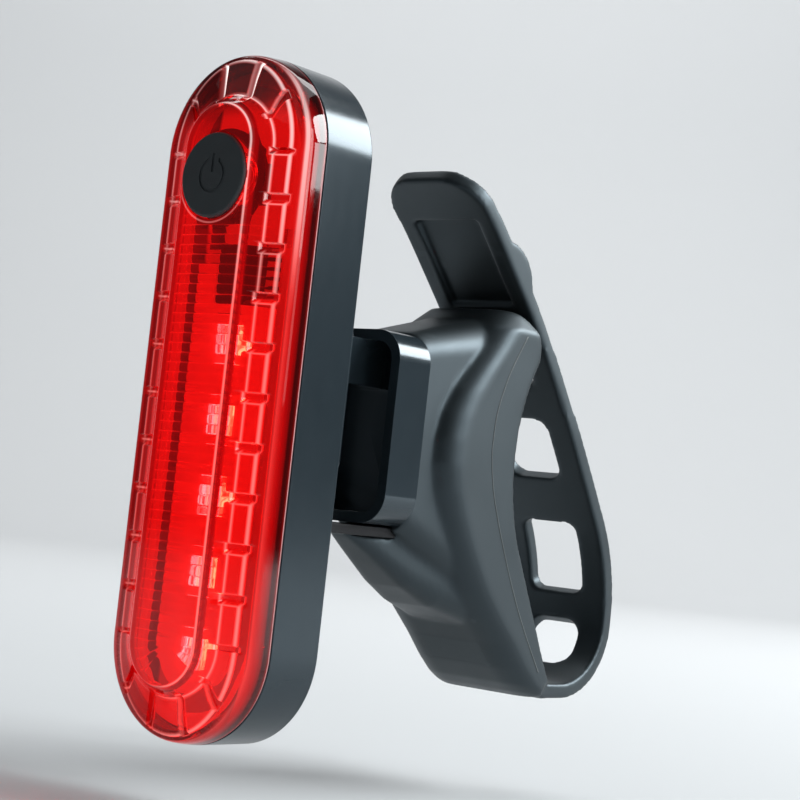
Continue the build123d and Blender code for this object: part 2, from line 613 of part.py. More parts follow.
def strap():
    outside, outer_tip = strap_side(0)
    inside, inner_tip = strap_side(STRAP_THICKNESS)
    half = STRAP_THICKNESS / 2
    start = Line((STRAP_AXIS_Y, STRAP_AXIS_Z - half), (STRAP_AXIS_Y, STRAP_AXIS_Z + half))
    ribbon = yz_face(*outside, *inside, start, Line(outer_tip, inner_tip))
    band = extrude(ribbon, STRAP_HALF_WIDTH, both=True)
    edge = [(STRAP_HALF_WIDTH, -LIGHT_LENGTH), (STRAP_HALF_WIDTH, TAPER_START), (TAB_HALF_WIDTH, TAPER_END),
            (TAB_HALF_WIDTH, LIGHT_LENGTH)]
    taper = make_face(Polyline(*edge, *[(-x, z) for x, z in reversed(edge)], close=True))
    band &= Pos(0, STRAP_AXIS_Y, 0) * extrude(Plane.XZ * taper, STRAP_AXIS_Y, both=True)
    corners = band.edges().filter_by(lambda e: e.center().Z > outer_tip[1] - STRAP_THICKNESS
                                     and abs(e.center().X) > TAB_HALF_WIDTH - 0.1
                                     and abs(e.length - STRAP_THICKNESS) < 0.05)
    band = fillet(corners, TAB_ROUNDING)
    for z, height, corner in STRAP_SLOTS:
        cutter = on_strap(z) * extrude(RectangleRounded(2 * SLOT_HALF_WIDTH, height, corner), 6, both=True)
        band -= cutter
    dish = Pos(0, 0, -STRAP_THICKNESS) * Box(2 * DISH_HALF_WIDTH, DISH_LENGTH, 2 * DISH_DEPTH)
    band -= on_strap(DISH_Z) * dish
    bump = Pos(0, 0, BUMP_HEIGHT - BUMP_RADIUS) * Rot(0, 90, 0) * Cylinder(BUMP_RADIUS, 2 * TAB_HALF_WIDTH)
    bump &= Pos(0, 0, BUMP_HEIGHT / 2) * Box(2 * TAB_HALF_WIDTH, 2 * BUMP_RADIUS, BUMP_HEIGHT + 0.8)
    bead = Pos(0, STRAP_AXIS_Y, STRAP_AXIS_Z) * Rot(0, 90, 0) * Cylinder(BEAD_RADIUS, 2 * STRAP_HALF_WIDTH)
    return band + bead + on_strap(BUMP_Z) * bump


def build():
    os.makedirs("parts", exist_ok=True)
    tongue, hook = mount_tongue(), strap_hook()
    save("saddle_block", saddle_block(tongue, hook))
    save("mount_tongue", tongue)
    save("strap_hook", hook)
    save("strap", strap())
    save("front_lens", front_lens())
    save("seal_ring", seal_ring())
    save("rear_housing", rear_housing())
    save("power_button", power_button())
    switch_body, switch_plunger = tact_switch()
    save("switch_body", switch_body)
    save("switch_plunger", switch_plunger)
    save("circuit_board", circuit_board())
    save("reflector_strip", reflector_strip())
    for number, z in enumerate(led_heights(), 1):
        save(f"led_{number}", led(z))
    save("control_chip", leaded_chip(*CONTROL_CHIP, pins=6, front=BOARD_FRONT))
    save("charge_chip", leaded_chip(*CHARGE_CHIP, pins=3, front=BOARD_BACK))
    save("chip_resistors", *chip_row(*RESISTORS, front=BOARD_FRONT))
    save("chip_capacitors", *chip_row(*CAPACITORS, front=BOARD_BACK))
    save("charge_indicator", *chip_row(*INDICATOR, front=BOARD_FRONT))
    cell, tape = battery()
    save("battery_cell", cell)
    save("battery_tape", tape)
    save("battery_lead_positive", battery_lead(1))
    save("battery_lead_negative", battery_lead(-1))
    shell, contacts = usb_socket()
    save("port_shell", shell)
    save("port_contact_tongue", contacts)
    save("port_flap", port_flap())
    save("rear_clip", rear_clip())
    save("clip_screws", clip_screw(-1), clip_screw(1))


build()
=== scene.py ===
"""Looks for the bicycle tail light: lens, housing, clip, rubber mount and strap, studio and camera.

Shapes are worked out in millimetres in the light's own frame, as in the part's source: x = 0 is the plane of
symmetry, y = 0 the front of the lens, z = 0 the middle of the light. at() turns them into the row frame.
"""
import json
from math import cos, pi, radians, sin

import bmesh
import bpy
import numpy as np
from mathutils import Matrix, Vector
from mathutils.bvhtree import BVHTree
from mathutils.kdtree import KDTree


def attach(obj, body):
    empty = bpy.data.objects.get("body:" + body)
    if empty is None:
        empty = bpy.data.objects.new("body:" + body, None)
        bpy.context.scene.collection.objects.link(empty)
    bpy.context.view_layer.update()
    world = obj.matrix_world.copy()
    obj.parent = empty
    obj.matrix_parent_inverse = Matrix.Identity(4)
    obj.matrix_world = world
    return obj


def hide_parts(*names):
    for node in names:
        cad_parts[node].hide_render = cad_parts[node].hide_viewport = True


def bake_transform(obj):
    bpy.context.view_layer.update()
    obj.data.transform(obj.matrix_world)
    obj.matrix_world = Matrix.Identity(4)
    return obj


MM = 0.001
# Corners closer than this are welded, in metres
WELD = 2e-6
# Place of the row frame's origin
SEAT_Y, SEAT_Z = 48.1, -2.0
# Light: height of its round ends' centres, and the button's height and hole radius
END_CENTRE = 26.6
BUTTON_Z = 23.4
BUTTON_HOLE = 4.77

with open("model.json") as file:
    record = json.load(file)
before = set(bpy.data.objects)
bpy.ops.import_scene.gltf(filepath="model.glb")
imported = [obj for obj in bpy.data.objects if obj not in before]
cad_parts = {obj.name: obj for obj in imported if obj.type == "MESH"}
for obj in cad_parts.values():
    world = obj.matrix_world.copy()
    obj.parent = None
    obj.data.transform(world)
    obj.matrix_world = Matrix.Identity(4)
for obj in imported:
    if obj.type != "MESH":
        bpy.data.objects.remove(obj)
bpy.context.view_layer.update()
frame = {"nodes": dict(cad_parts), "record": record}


def at(x, y, z):
    """A point of the light's frame, in mm, as a point of the row frame, in metres."""
    return Vector((x * MM, (y - SEAT_Y) * MM, (z - SEAT_Z) * MM))


def rows(points):
    """The same for an array of points."""
    return (np.asarray(points, float) - (0.0, SEAT_Y, SEAT_Z)) * MM


def smooth_step(low, high, value):
    """0 up to low, 1 from high on, and a smooth rise between them."""
    t = np.clip((np.asarray(value, float) - low) / (high - low), 0, 1)
    return t * t * (3 - 2 * t)


def bell(value, middle, width):
    """1 at the middle, and a smooth fall to nothing on both sides of it."""
    return np.exp(-((value - middle) / width) ** 2)


def placed(name, data):
    """A new object in the scene."""
    obj = bpy.data.objects.new(name, data)
    bpy.context.scene.collection.objects.link(obj)
    return obj


# Materials

class Look:
    """A material under construction: a Principled shader, and short ways to add the nodes that feed it.

    Noise scales are in features per metre, so 1000 gives grain of about a millimetre.
    """

    def __init__(self, name, colour, roughness, **sockets):
        self.material = bpy.data.materials.new(name)
        self.material.use_nodes = True
        self.tree = self.material.node_tree
        self.shader = self.tree.nodes["Principled BSDF"]
        self.shader.inputs["Base Color"].default_value = (*colour, 1)
        self.shader.inputs["Roughness"].default_value = roughness
        for key, value in sockets.items():
            self.shader.inputs[key.replace("_", " ")].default_value = value
        self.place = self.tree.nodes.new("ShaderNodeTexCoord").outputs["Object"]

    def node(self, kind, inputs=(), **settings):
        new = self.tree.nodes.new(kind)
        for key, value in settings.items():
            setattr(new, key, value)
        for key, value in dict(inputs).items():
            if isinstance(value, bpy.types.NodeSocket):
                self.tree.links.new(value, new.inputs[key])
            else:
                new.inputs[key].default_value = value
        return new

    def maths(self, operation, a, b=0.0, c=0.0):
        return self.node("ShaderNodeMath", {0: a, 1: b, 2: c}, operation=operation).outputs[0]

    def coordinate(self, axis):
        """One coordinate of the light's frame, in mm."""
        part = self.node("ShaderNodeSeparateXYZ", {0: self.place}).outputs[axis]
        return self.maths("MULTIPLY_ADD", part, 1.0 / MM, (0.0, SEAT_Y, SEAT_Z)[axis])

    def attribute(self, name):
        return self.node("ShaderNodeAttribute", attribute_name=name).outputs["Fac"]

    def noise(self, scale, detail=2.0, roughness=0.5, place=None):
        settings = {"Vector": place or self.place, "Scale": scale, "Detail": detail, "Roughness": roughness}
        return self.node("ShaderNodeTexNoise", settings).outputs[0]

    def stretched(self, x, y, z):
        return self.node("ShaderNodeMapping", {"Vector": self.place, "Scale": (x, y, z)}).outputs[0]

    def remap(self, value, low, high, to_low=0.0, to_high=1.0):
        settings = {"Value": value, "From Min": low, "From Max": high, "To Min": to_low, "To Max": to_high}
        return self.node("ShaderNodeMapRange", settings).outputs[0]

    def blend(self, factor, a, b):
        mix = self.node("ShaderNodeMix", {"Factor": factor}, data_type="RGBA")
        for socket, value in ((mix.inputs[6], a), (mix.inputs[7], b)):
            if isinstance(value, bpy.types.NodeSocket):
                self.tree.links.new(value, socket)
            else:
                socket.default_value = (*value, 1)
        return mix.outputs[2]

    def edges(self, low=0.52, high=0.6):
        """Where the surface is convex and sharp: 0 on flats, 1 along worn edges."""
        return self.remap(self.node("ShaderNodeNewGeometry").outputs["Pointiness"], low, high)

    def feed(self, key, socket):
        self.tree.links.new(socket, self.shader.inputs[key])

    def bump(self, height, distance, strength=1.0):
        self.feed("Normal", self.node("ShaderNodeBump", {
            "Height": height, "Distance": distance * MM, "Strength": strength}).outputs[0])


def plastic(name, colour, roughness, worn, grain=0.002, **sockets):
    """Moulded plastic: a little colour drift, fine handling marks in the gloss, paler along its edges."""
    look = Look(name, colour, roughness, **sockets)
    drift = look.noise(260.0, 3.0)
    darker = tuple(c * 0.85 for c in colour)
    base = look.blend(drift, darker, colour)
    look.feed("Base Color", look.blend(look.maths("MULTIPLY", look.edges(), 0.5), base, worn))
    marks = look.noise(900.0, 4.0, 0.7, look.stretched(1, 1, 0.25))
    look.feed("Roughness", look.remap(marks, 0.3, 0.75, roughness * 0.92, roughness * 1.12))
    look.bump(look.noise(5200.0, 2.0), grain, 0.25)
    return look


def rubber(name, colour, roughness, worn, grain=0.006, **sockets):
    """Matt moulded rubber: fine spark-eroded grain, dusty on flats, slightly polished along its edges."""
    look = Look(name, colour, roughness, **sockets)
    dust = look.noise(120.0, 5.0, 0.6)
    fine = look.noise(5200.0, 3.0, 0.6)
    base = look.blend(look.remap(dust, 0.35, 0.75), colour, tuple(c * 1.35 for c in colour))
    look.feed("Base Color", look.blend(look.maths("MULTIPLY", look.edges(), 0.6), base, worn))
    look.feed("Roughness", look.remap(dust, 0.3, 0.7, roughness * 0.92, min(1.0, roughness * 1.1)))
    look.bump(fine, grain, 0.5)
    return look


def metal(name, colour, roughness, stretch=(1, 1, 1)):
    look = Look(name, colour, roughness, Metallic=1.0)
    lines = look.noise(2600.0, 3.0, 0.6, look.stretched(*stretch))
    look.feed("Roughness", look.remap(lines, 0.3, 0.7, roughness * 0.7, roughness * 1.4))
    look.feed("Base Color", look.blend(lines, tuple(c * 0.85 for c in colour), colour))
    look.bump(lines, 0.006, 0.3)
    return look


def red_lens():
    """Clear red plastic, lit from behind, with lamps shining through it; its moulded edges get painted
    highlights, emission in the material.

    The mesh's attributes say where an edge gets a painted highlight, and where a corner gets painted shade
    over what is behind.
    """
    clear_red, painted_shade_red, glow_red = (0.85, 0.005, 0.004), (0.03, 0.0, 0.0), (1.0, 0.0, 0.002)
    low_painted_highlight, high_painted_highlight = (1.0, 0.24, 0.22), (0.95, 0.76, 0.74)
    look = Look("red_lens", clear_red, 0.035, IOR=1.49, Transmission_Weight=1.0)
    marks = look.noise(700.0, 4.0, 0.7)
    look.feed("Roughness", look.remap(marks, 0.3, 0.8, 0.02, 0.06))
    look.bump(look.noise(1500.0, 2.0), 0.004, 0.2)
    # Painted shade: the lens turns a deep, dark red where the mesh asks for it
    painted_shade = look.attribute("painted_shade")
    look.feed("Base Color", look.blend(painted_shade, clear_red, painted_shade_red))
    x, y, z = (look.coordinate(axis) for axis in range(3))

    # A thin painted highlight line under the button, on the rim of its hole
    up = look.maths("SUBTRACT", z, BUTTON_Z)
    squares = look.maths("ADD", look.maths("MULTIPLY", x, x), look.maths("MULTIPLY", up, up))
    off_line = look.maths("SUBTRACT", look.maths("SQRT", squares), BUTTON_HOLE + 0.33)
    off_line = look.maths("ABSOLUTE", off_line)
    line = look.maths("MULTIPLY", look.remap(off_line, 0.14, 0.06), look.remap(y, 0.03, 0.0))
    line = look.maths("MULTIPLY", line, look.remap(up, 2.0, -3.0, 0.0, 0.45))
    edge = look.maths("MAXIMUM", look.attribute("painted_edge_glow"), line)

    # A painted glow of scattered light, emission that fades at the top end, above the lamps, and towards the
    # back of the wall
    lit = look.maths("MULTIPLY", look.remap(z, 32.0, 29.0, 0.1, 1.0), look.remap(y, 3.7, 4.5, 1.0, 0.1))
    haze = look.maths("MULTIPLY", look.maths("MULTIPLY_ADD", painted_shade, 0.26, 0.05), lit)
    # Painted highlights on the edges, pink low down and paler higher up
    painted_highlight_colour = look.blend(look.remap(z, 9.0, 29.0), low_painted_highlight, high_painted_highlight)
    look.feed("Emission Color", look.blend(edge, glow_red, painted_highlight_colour))
    look.feed("Emission Strength", look.maths("MULTIPLY_ADD", edge, 0.7, haze))

    # Lamps inside light the room through it
    clear = look.node("ShaderNodeBsdfTransparent", {"Color": (0.9, 0.06, 0.05, 1)})
    rays = look.node("ShaderNodeLightPath")
    mix = look.node("ShaderNodeMixShader", {0: rays.outputs["Is Shadow Ray"]})
    look.tree.links.new(look.shader.outputs[0], mix.inputs[1])
    look.tree.links.new(clear.outputs[0], mix.inputs[2])
    look.tree.links.new(mix.outputs[0], look.tree.nodes["Material Output"].inputs[0])
    return look


def painted_glow_white(name, strength):
    """White plastic inside the lens, with the lamps' light on it painted as emission, dimming to painted
    shade at the top end, and the faint lines of its mould.
    """
    line_pitch = 0.43
    look = Look(name, (0.8, 0.78, 0.76), 0.4)
    z = look.coordinate(2)
    lines = look.maths("SINE", look.maths("MULTIPLY", z, 2 * pi / line_pitch))
    soft = look.noise(90.0, 2.0)
    level = look.maths("MULTIPLY_ADD", lines, 0.04, look.remap(soft, 0.3, 0.7, 0.92, 1.05))
    # Painted shade: the painted light dims to almost nothing towards the top end
    fade = look.remap(z, 31.0, 27.0, 0.03, 1.0)
    look.feed("Emission Color", look.blend(soft, (1.0, 0.85, 0.8), (1.0, 0.95, 0.9)))
    look.feed("Emission Strength", look.maths("MULTIPLY", look.maths("MULTIPLY", level, strength), fade))
    return look


def board_look():
    """Solder mask with painted light from the lamps on its front, as emission and a paler colour: bright
    under the window, painted shade beside the reflector.
    """
    look = Look("board_mask", (0.5, 0.5, 0.48), 0.35)
    x, y, z = (look.coordinate(axis) for axis in range(3))
    # Painted shade in a strip beside the reflector's edge; the painted light also dims at the top end and
    # towards the bottom
    beside_gap = look.maths("MAXIMUM", look.remap(x, -5.4, -5.0), look.remap(x, -7.5, -7.8))
    front = look.maths("MULTIPLY", look.remap(y, 6.15, 6.0), beside_gap)
    fade = look.maths("MULTIPLY", look.remap(z, 33.0, 31.0, 0.02, 1.0), look.remap(z, 9.0, 19.0, 0.3, 0.85))
    look.feed("Emission Strength", look.maths("MULTIPLY", look.maths("MULTIPLY", fade, front), 0.6))
    look.shader.inputs["Emission Color"].default_value = (1.0, 0.9, 0.85, 1)
    tracks = look.noise(1400.0, 1.0, 0.4, look.stretched(3, 1, 0.4))
    green = look.blend(look.remap(tracks, 0.48, 0.52), (0.02, 0.12, 0.05), (0.04, 0.2, 0.09))
    # The lit front is a paler, painted copy of the green mask
    look.feed("Base Color", look.blend(front, green, (0.5, 0.48, 0.46)))
    look.bump(tracks, 0.03, 0.4)
    return look


def lamp_look():
    """A lit surface-mount lamp: broken up into glints, pink on one side and amber on the other.

    Its colours hold little red, because the red lens lets through so little of their green and blue.
    """
    pink, amber = (0.32, 0.7, 1.0), (0.32, 1.0, 0.6)
    look = Look("lamp_lit", (0.9, 0.85, 0.75), 0.3)
    spot = look.node("ShaderNodeTexCoord").outputs["Generated"]
    offset = look.node("ShaderNodeVectorMath", {0: spot, 1: (-0.5, -0.5, -0.5)}, operation="ADD").outputs[0]
    flat = look.node("ShaderNodeVectorMath", {0: offset, 1: (1, 0, 1)}, operation="MULTIPLY").outputs[0]
    reach = look.node("ShaderNodeVectorMath", {0: flat}, operation="LENGTH").outputs["Value"]
    heat = look.remap(reach, 0.45, 0.1)
    side = look.node("ShaderNodeSeparateXYZ", {0: offset}).outputs[0]
    glass = look.noise(1700.0, 2.0, 0.7, look.stretched(1.3, 1, 0.8))
    glints = look.maths("POWER", look.remap(glass, 0.36, 0.62), 2.0)
    warm = look.remap(look.maths("MULTIPLY_ADD", glass, 0.5, side), 0.1, 0.45)
    look.feed("Emission Color", look.blend(warm, pink, amber))
    peak = look.maths("MULTIPLY_ADD", heat, 110.0, 110.0)
    look.feed("Emission Strength", look.maths("MULTIPLY_ADD", glints, peak, 5.0))
    return look


LOOKS = {
    "red_lens": red_lens(),
    "slate": plastic("slate_gloss", (0.016, 0.0235, 0.029), 0.18, (0.05, 0.06, 0.07), IOR=1.52,
                     Specular_Tint=(0.75, 0.9, 1, 1)),
    "rubber": rubber("mount_rubber", (0.006, 0.0072, 0.0075), 0.46, (0.02, 0.024, 0.025),
                     Specular_IOR_Level=0.8, Specular_Tint=(0.7, 0.88, 1, 1)),
    "button": rubber("button_rubber", (0.034, 0.041, 0.045), 0.6, (0.04, 0.046, 0.05), 0.004),
    # The parting line's rubber is lighter than the saddle's: a painted highlight along the ridge
    "rubber_line": rubber("parting_rubber", (0.06, 0.068, 0.07), 0.4, (0.1, 0.11, 0.11)),
    # The seal's pale pink stands in for the bright line along the seam between lens and housing, a painted
    # highlight
    "seal": rubber("seal_rubber", (0.5, 0.2, 0.2), 0.35, (0.7, 0.4, 0.4)),
    "black": plastic("black_plastic", (0.02, 0.02, 0.022), 0.35, (0.05, 0.05, 0.055), 0.004),
    # The reflector and the rim round it glow with painted light, emission in their material
    "white": painted_glow_white("reflector_white", 0.48),
    "rim": painted_glow_white("rim_white", 0.45),
    "tape": plastic("tape_white", (0.7, 0.7, 0.66), 0.5, (0.8, 0.8, 0.78), 0.006),
    "lamp": lamp_look(),
    "board": board_look(),
    "chip": plastic("chip_resin", (0.012, 0.011, 0.011), 0.45, (0.05, 0.05, 0.05), 0.006),
    "ceramic": plastic("chip_ceramic", (0.35, 0.22, 0.12), 0.4, (0.5, 0.4, 0.3), 0.005),
    "foil": metal("cell_foil", (0.62, 0.63, 0.65), 0.28, (1, 1, 0.3)),
    "lead_red": plastic("lead_red", (0.45, 0.01, 0.01), 0.4, (0.6, 0.1, 0.1), 0.002),
    "lead_black": plastic("lead_black", (0.015, 0.015, 0.015), 0.4, (0.05, 0.05, 0.05), 0.002),
    "steel": metal("plated_steel", (0.6, 0.6, 0.62), 0.25, (1, 6, 1)),
    "black_steel": metal("blackened_steel", (0.035, 0.035, 0.037), 0.42, (6, 1, 1)),
}

NODE_LOOKS = {
    "seal_ring": "seal", "switch_body": "black", "switch_plunger": "black", "circuit_board": "board",
    "reflector_strip": "white", **{f"led_{k}": "lamp" for k in range(1, 6)}, "control_chip": "chip",
    "charge_chip": "chip", "chip_resistors": "chip", "chip_capacitors": "ceramic", "charge_indicator": "tape",
    "battery_tape": "tape", "battery_lead_positive": "lead_red", "battery_lead_negative": "lead_black",
    "port_shell": "steel", "port_contact_tongue": "black", "clip_screws": "steel",
}
BODY = {node: body for body, nodes in frame["record"]["behaviour"]["bodies"].items() for node in nodes}


def wear(obj, look):
    obj.data.materials.clear()
    obj.data.materials.append(LOOKS[look].material)


for node, look in NODE_LOOKS.items():
    wear(frame["nodes"][node], look)


# Meshes

def piece(name, mesh, look, body, stands_for=()):
    """A piece of the model on its body, and the CAD nodes it stands for."""
    obj = placed(name, mesh)
    wear(obj, look)
    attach(obj, body)
    if stands_for:
        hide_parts(*stands_for)
    return obj


def mesh_of(name, points, faces, smooth=True):
    mesh = bpy.data.meshes.new(name)
    mesh.from_pydata([tuple(p) for p in points], [], [tuple(int(i) for i in f) for f in faces])
    mesh.validate()
    mesh.polygons.foreach_set("use_smooth", [smooth] * len(mesh.polygons))
    return mesh


def applied(obj):
    """The mesh that an object's modifiers make."""
    graph = bpy.context.evaluated_depsgraph_get()
    graph.update()
    return bpy.data.meshes.new_from_object(obj.evaluated_get(graph), depsgraph=graph)


def copy_of(*nodes):
    """One new object from the meshes of these CAD nodes, with their split corners welded."""
    work = bmesh.new()
    for node in nodes:
        work.from_mesh(frame["nodes"][node].data)
    bmesh.ops.remove_doubles(work, verts=work.verts, dist=WELD)
    mesh = bpy.data.meshes.new("copy")
    work.to_mesh(mesh)
    work.free()
    return placed("copy", mesh)


def softened(node, look, width, segments):
    """A skin over a CAD node with its sharp edges rounded."""
    source = copy_of(node)
    flat = source.modifiers.new("flat", "DECIMATE")
    flat.decimate_type = "DISSOLVE"
    flat.angle_limit = radians(0.6)
    round_off = source.modifiers.new("round", "BEVEL")
    round_off.width = width * MM
    round_off.segments = segments
    round_off.limit_method = "ANGLE"
    round_off.angle_limit = radians(32)
    round_off.harden_normals = True
    round_off.miter_outer = "MITER_ARC"
    source.data.polygons.foreach_set("use_smooth", [True] * len(source.data.polygons))
    weigh = source.modifiers.new("weigh", "WEIGHTED_NORMAL")
    weigh.weight = 100
    weigh.keep_sharp = True
    mesh = applied(source)
    bpy.data.objects.remove(source)
    piece(f"{node}_skin", mesh, look, BODY[node], [node])


# Lens

# Spacing of the flutes and of the slits, and how far from each of them points lie
FLUTE_PITCH = 1.07
FLUTE_STEPS = (0.0, 0.04, 0.08, 0.15, 0.35, 0.535)
SLIT_PITCH = 5.3
SLIT_STEPS = (0.08, 0.2, 0.35, 0.4, 0.45, 0.5, 0.56, 0.64, 0.72, 0.8, 0.9)
# Blocks round one end, the radius through their middle, and how far from each slit between them points lie
END_BLOCKS = 5
END_BLOCK_RADIUS = 7.6
END_SLIT_STEPS = (0, 0.2, 0.38, 0.44, 0.5, 0.58, 0.7)
# Closest that two points may lie along a side, in mm, and round an end, as an angle
SIDE_GAP = 0.03
END_GAP = 0.004


def side_heights():
    """Heights of the lens's points along its straight sides, closer together at each flute and slit.

    They are the same above and below the middle, so that both sides meet along the window's centre line.
    """
    found = [0.0]
    for pitch, steps in ((FLUTE_PITCH, FLUTE_STEPS), (SLIT_PITCH, SLIT_STEPS)):
        for k in range(int(END_CENTRE / pitch) + 1):
            found += [k * pitch + side * d for d in steps for side in (-1, 1)]
    kept = [0.0]
    for z in sorted(found):
        if kept[-1] + SIDE_GAP < z < END_CENTRE - SIDE_GAP:
            kept.append(z)
    return [-END_CENTRE] + [-z for z in reversed(kept[1:])] + kept


def end_turns(step):
    """Angles round one end of the lens, closer together at each slit between its blocks."""
    found = list(np.arange(0, pi, step / 9.0))
    for k in range(1, END_BLOCKS):
        slit = pi * k / END_BLOCKS
        found += [slit + side * d / END_BLOCK_RADIUS for d in END_SLIT_STEPS for side in (-1, 1)]
    kept = []
    for turn in sorted(found):
        if turn < pi - 0.003 and (not kept or turn - kept[-1] > END_GAP):
            kept.append(turn)
    return kept


def stations(step):
    """Points round the lens, each with four values.

    They are the cosine and sine of its direction, the height of its arc's centre, and how far past the
    nearest slit between the blocks it lies, in mm. Round the ends that last value is never negative.
    """
    clear_of_slits = 99.0
    found = []
    heights, turns = side_heights(), end_turns(step)
    for side in (1, -1):
        for height in heights:
            z = side * height
            found.append((side, 0.0, z, z - round(z / SLIT_PITCH) * SLIT_PITCH))
        for turn in turns:
            share = turn / pi * END_BLOCKS
            away = clear_of_slits
            if round(share) not in (0, END_BLOCKS):
                away = abs(share - round(share)) / END_BLOCKS * pi * END_BLOCK_RADIUS
            found.append((side * cos(turn), side * sin(turn), side * END_CENTRE, away))
    return np.array(found)


# Outside of the lens, from the wall's back edge to the middle of the window. Each row: half width, reach of
# the round end, depth, share of a slit's depth, how bright a painted highlight its edge gets on the blocks
# and in the slits, and how much painted shade it lays over what is behind
OUTER = (
    (10.88, 10.88, 5.2, 0, 0.2, 0.2, 1), (10.87, 10.87, 5.08, 0, 0.15, 0.15, 1),
    (10.85, 10.85, 4.9, 0, 0, 0, 1), (10.81, 10.81, 4.5, 0, 0, 0, 1), (10.75, 10.76, 4.1, 0, 0, 0, 1),
    (10.68, 10.71, 3.7, 0, 0, 0, 1), (10.6, 10.66, 3.35, 0, 0.03, 0.03, 0.9),
    (10.46, 10.58, 3.05, 0, 0.15, 0.15, 0.8), (10.27, 10.48, 2.83, 0, 0.3, 0.3, 0.7),
    (10.03, 10.38, 2.71, 0, 0.1, 0.1, 0.3), (9.7, 10.28, 2.63, 0, 0, 0, 0),
    (9.35, 10.14, 2.56, 0, 0, 0, 0), (9, 10.04, 2.54, 0.1, 0, 0.3, 0), (8.88, 10, 2.47, 0.35, 0, 1, 0),
    (8.8, 9.97, 2.42, 0.6, 0.5, 0.4, 0), (8.68, 9.9, 2.33, 0.95, 1, 0, 0), (8.54, 9.81, 2.25, 1, 1, 0, 0),
    (8.38, 9.68, 2.22, 1, 0.6, 0, 0), (8.24, 9.5, 2.19, 1, 0, 0, 0), (7.6, 8.2, 2, 1, 0, 0, 0),
    (6.95, 6.3, 1.8, 1, 0, 0, 0), (6.82, 6, 1.72, 1, 0.5, 0, 0), (6.7, 5.88, 1.6, 1, 1, 0, 0),
    (6.6, 5.8, 1.48, 1, 0.2, 0, 0), (6.46, 5.69, 1.37, 0.8, 0, 0, 0), (6.38, 5.62, 1.3, 0.4, 0, 0.9, 0),
    (6.28, 5.54, 1.22, 0, 0, 0, 0), (5.6, 5.18, 0.68, 0, 0, 0, 0), (5.45, 5.1, 0.56, 0, 0, 0, 0.9),
    (5.2, 4.96, 0.36, 0, 0, 0, 1), (4.98, 4.84, 0.18, 0, 0.1, 0.1, 0.6), (4.88, 4.76, 0.1, 0, 1, 1, 0),
    (4.76, 4.66, 0.04, 0, 0.9, 0.9, 0), (4.64, 4.56, 0.01, 0, 0.1, 0.1, 0), (4.5, 4.45, 0, 0, 0, 0, 0),
    (2.2, 2.2, 0, 0, 0, 0, 0), (0, 0, 0, 0, 0, 0, 0),
)
# Inside of the lens, from the wall's back edge. Each row: half width, reach, depth and share of the flutes
INNER = (
    (9.4, 9.4, 5.2, 0), (9.4, 9.4, 4.35, 0), (9.25, 9.3, 3.95, 0), (8.0, 8.6, 3.65, 0), (7.0, 7.2, 3.45, 0),
    (6.6, 6.4, 3.3, 0.3), (6.2, 5.9, 3.0, 1), (5.4, 5.2, 2.3, 1), (4.8, 4.75, 1.75, 1), (4.6, 4.6, 1.65, 1),
    (4.3, 4.3, 1.6, 1), (2.2, 2.2, 1.6, 1), (0, 0, 1.6, 1),
)
# Half widths of the rows on the wall's crest, the shoulder outside the blocks, the blocks' outer ends and
# tops, the ring from the window to the blocks, and the slope inside that ring
CREST = (10.2, 10.5)
SHOULDER = (8.0, 10.0)
BLOCK_ENDS = (7.7, 9.1)
BLOCK_TOPS = (6.8, 8.6)
RING = (5.0, 8.4)
INNER_SLOPE = (4.5, 6.7)
# Depth of a slit, and where along the lens its floor begins and ends, in mm past its middle
SLIT_DEPTH = 0.62
SLIT_START = (-0.8, -0.1)
SLIT_END = (0.42, 0.54)
# How far a flute is hollowed, how far the cusp between two flutes stands out, and the cusp's width
HOLLOW = 0.05
CUSP = 0.02
CUSP_WIDTH = 0.045
# Heights over which the flutes begin and end, the blocks at the top get painted shade, the painted bars
# between them light up, and the painted highlight on the wall's crest grows brighter. The bars' heights are
# taken at
# BAR_REACH from the arc's centre
FLUTES_LOW = (-32.0, -30.5)
FLUTES_HIGH = (19.0, 19.5)
TOP_PAINTED_SHADE = (30.5, 33.0)
TOP_PAINTED_BARS = (32.5, 34.5)
BAR_REACH = 9.0
CREST_HIGHLIGHT_RISE = (4, 22)


def between(span, value):
    return span[0] < value < span[1]


def rightness(c):
    """0 on the lens's left side, 1 on its right."""
    return smooth_step(-0.5, 0.3, c)


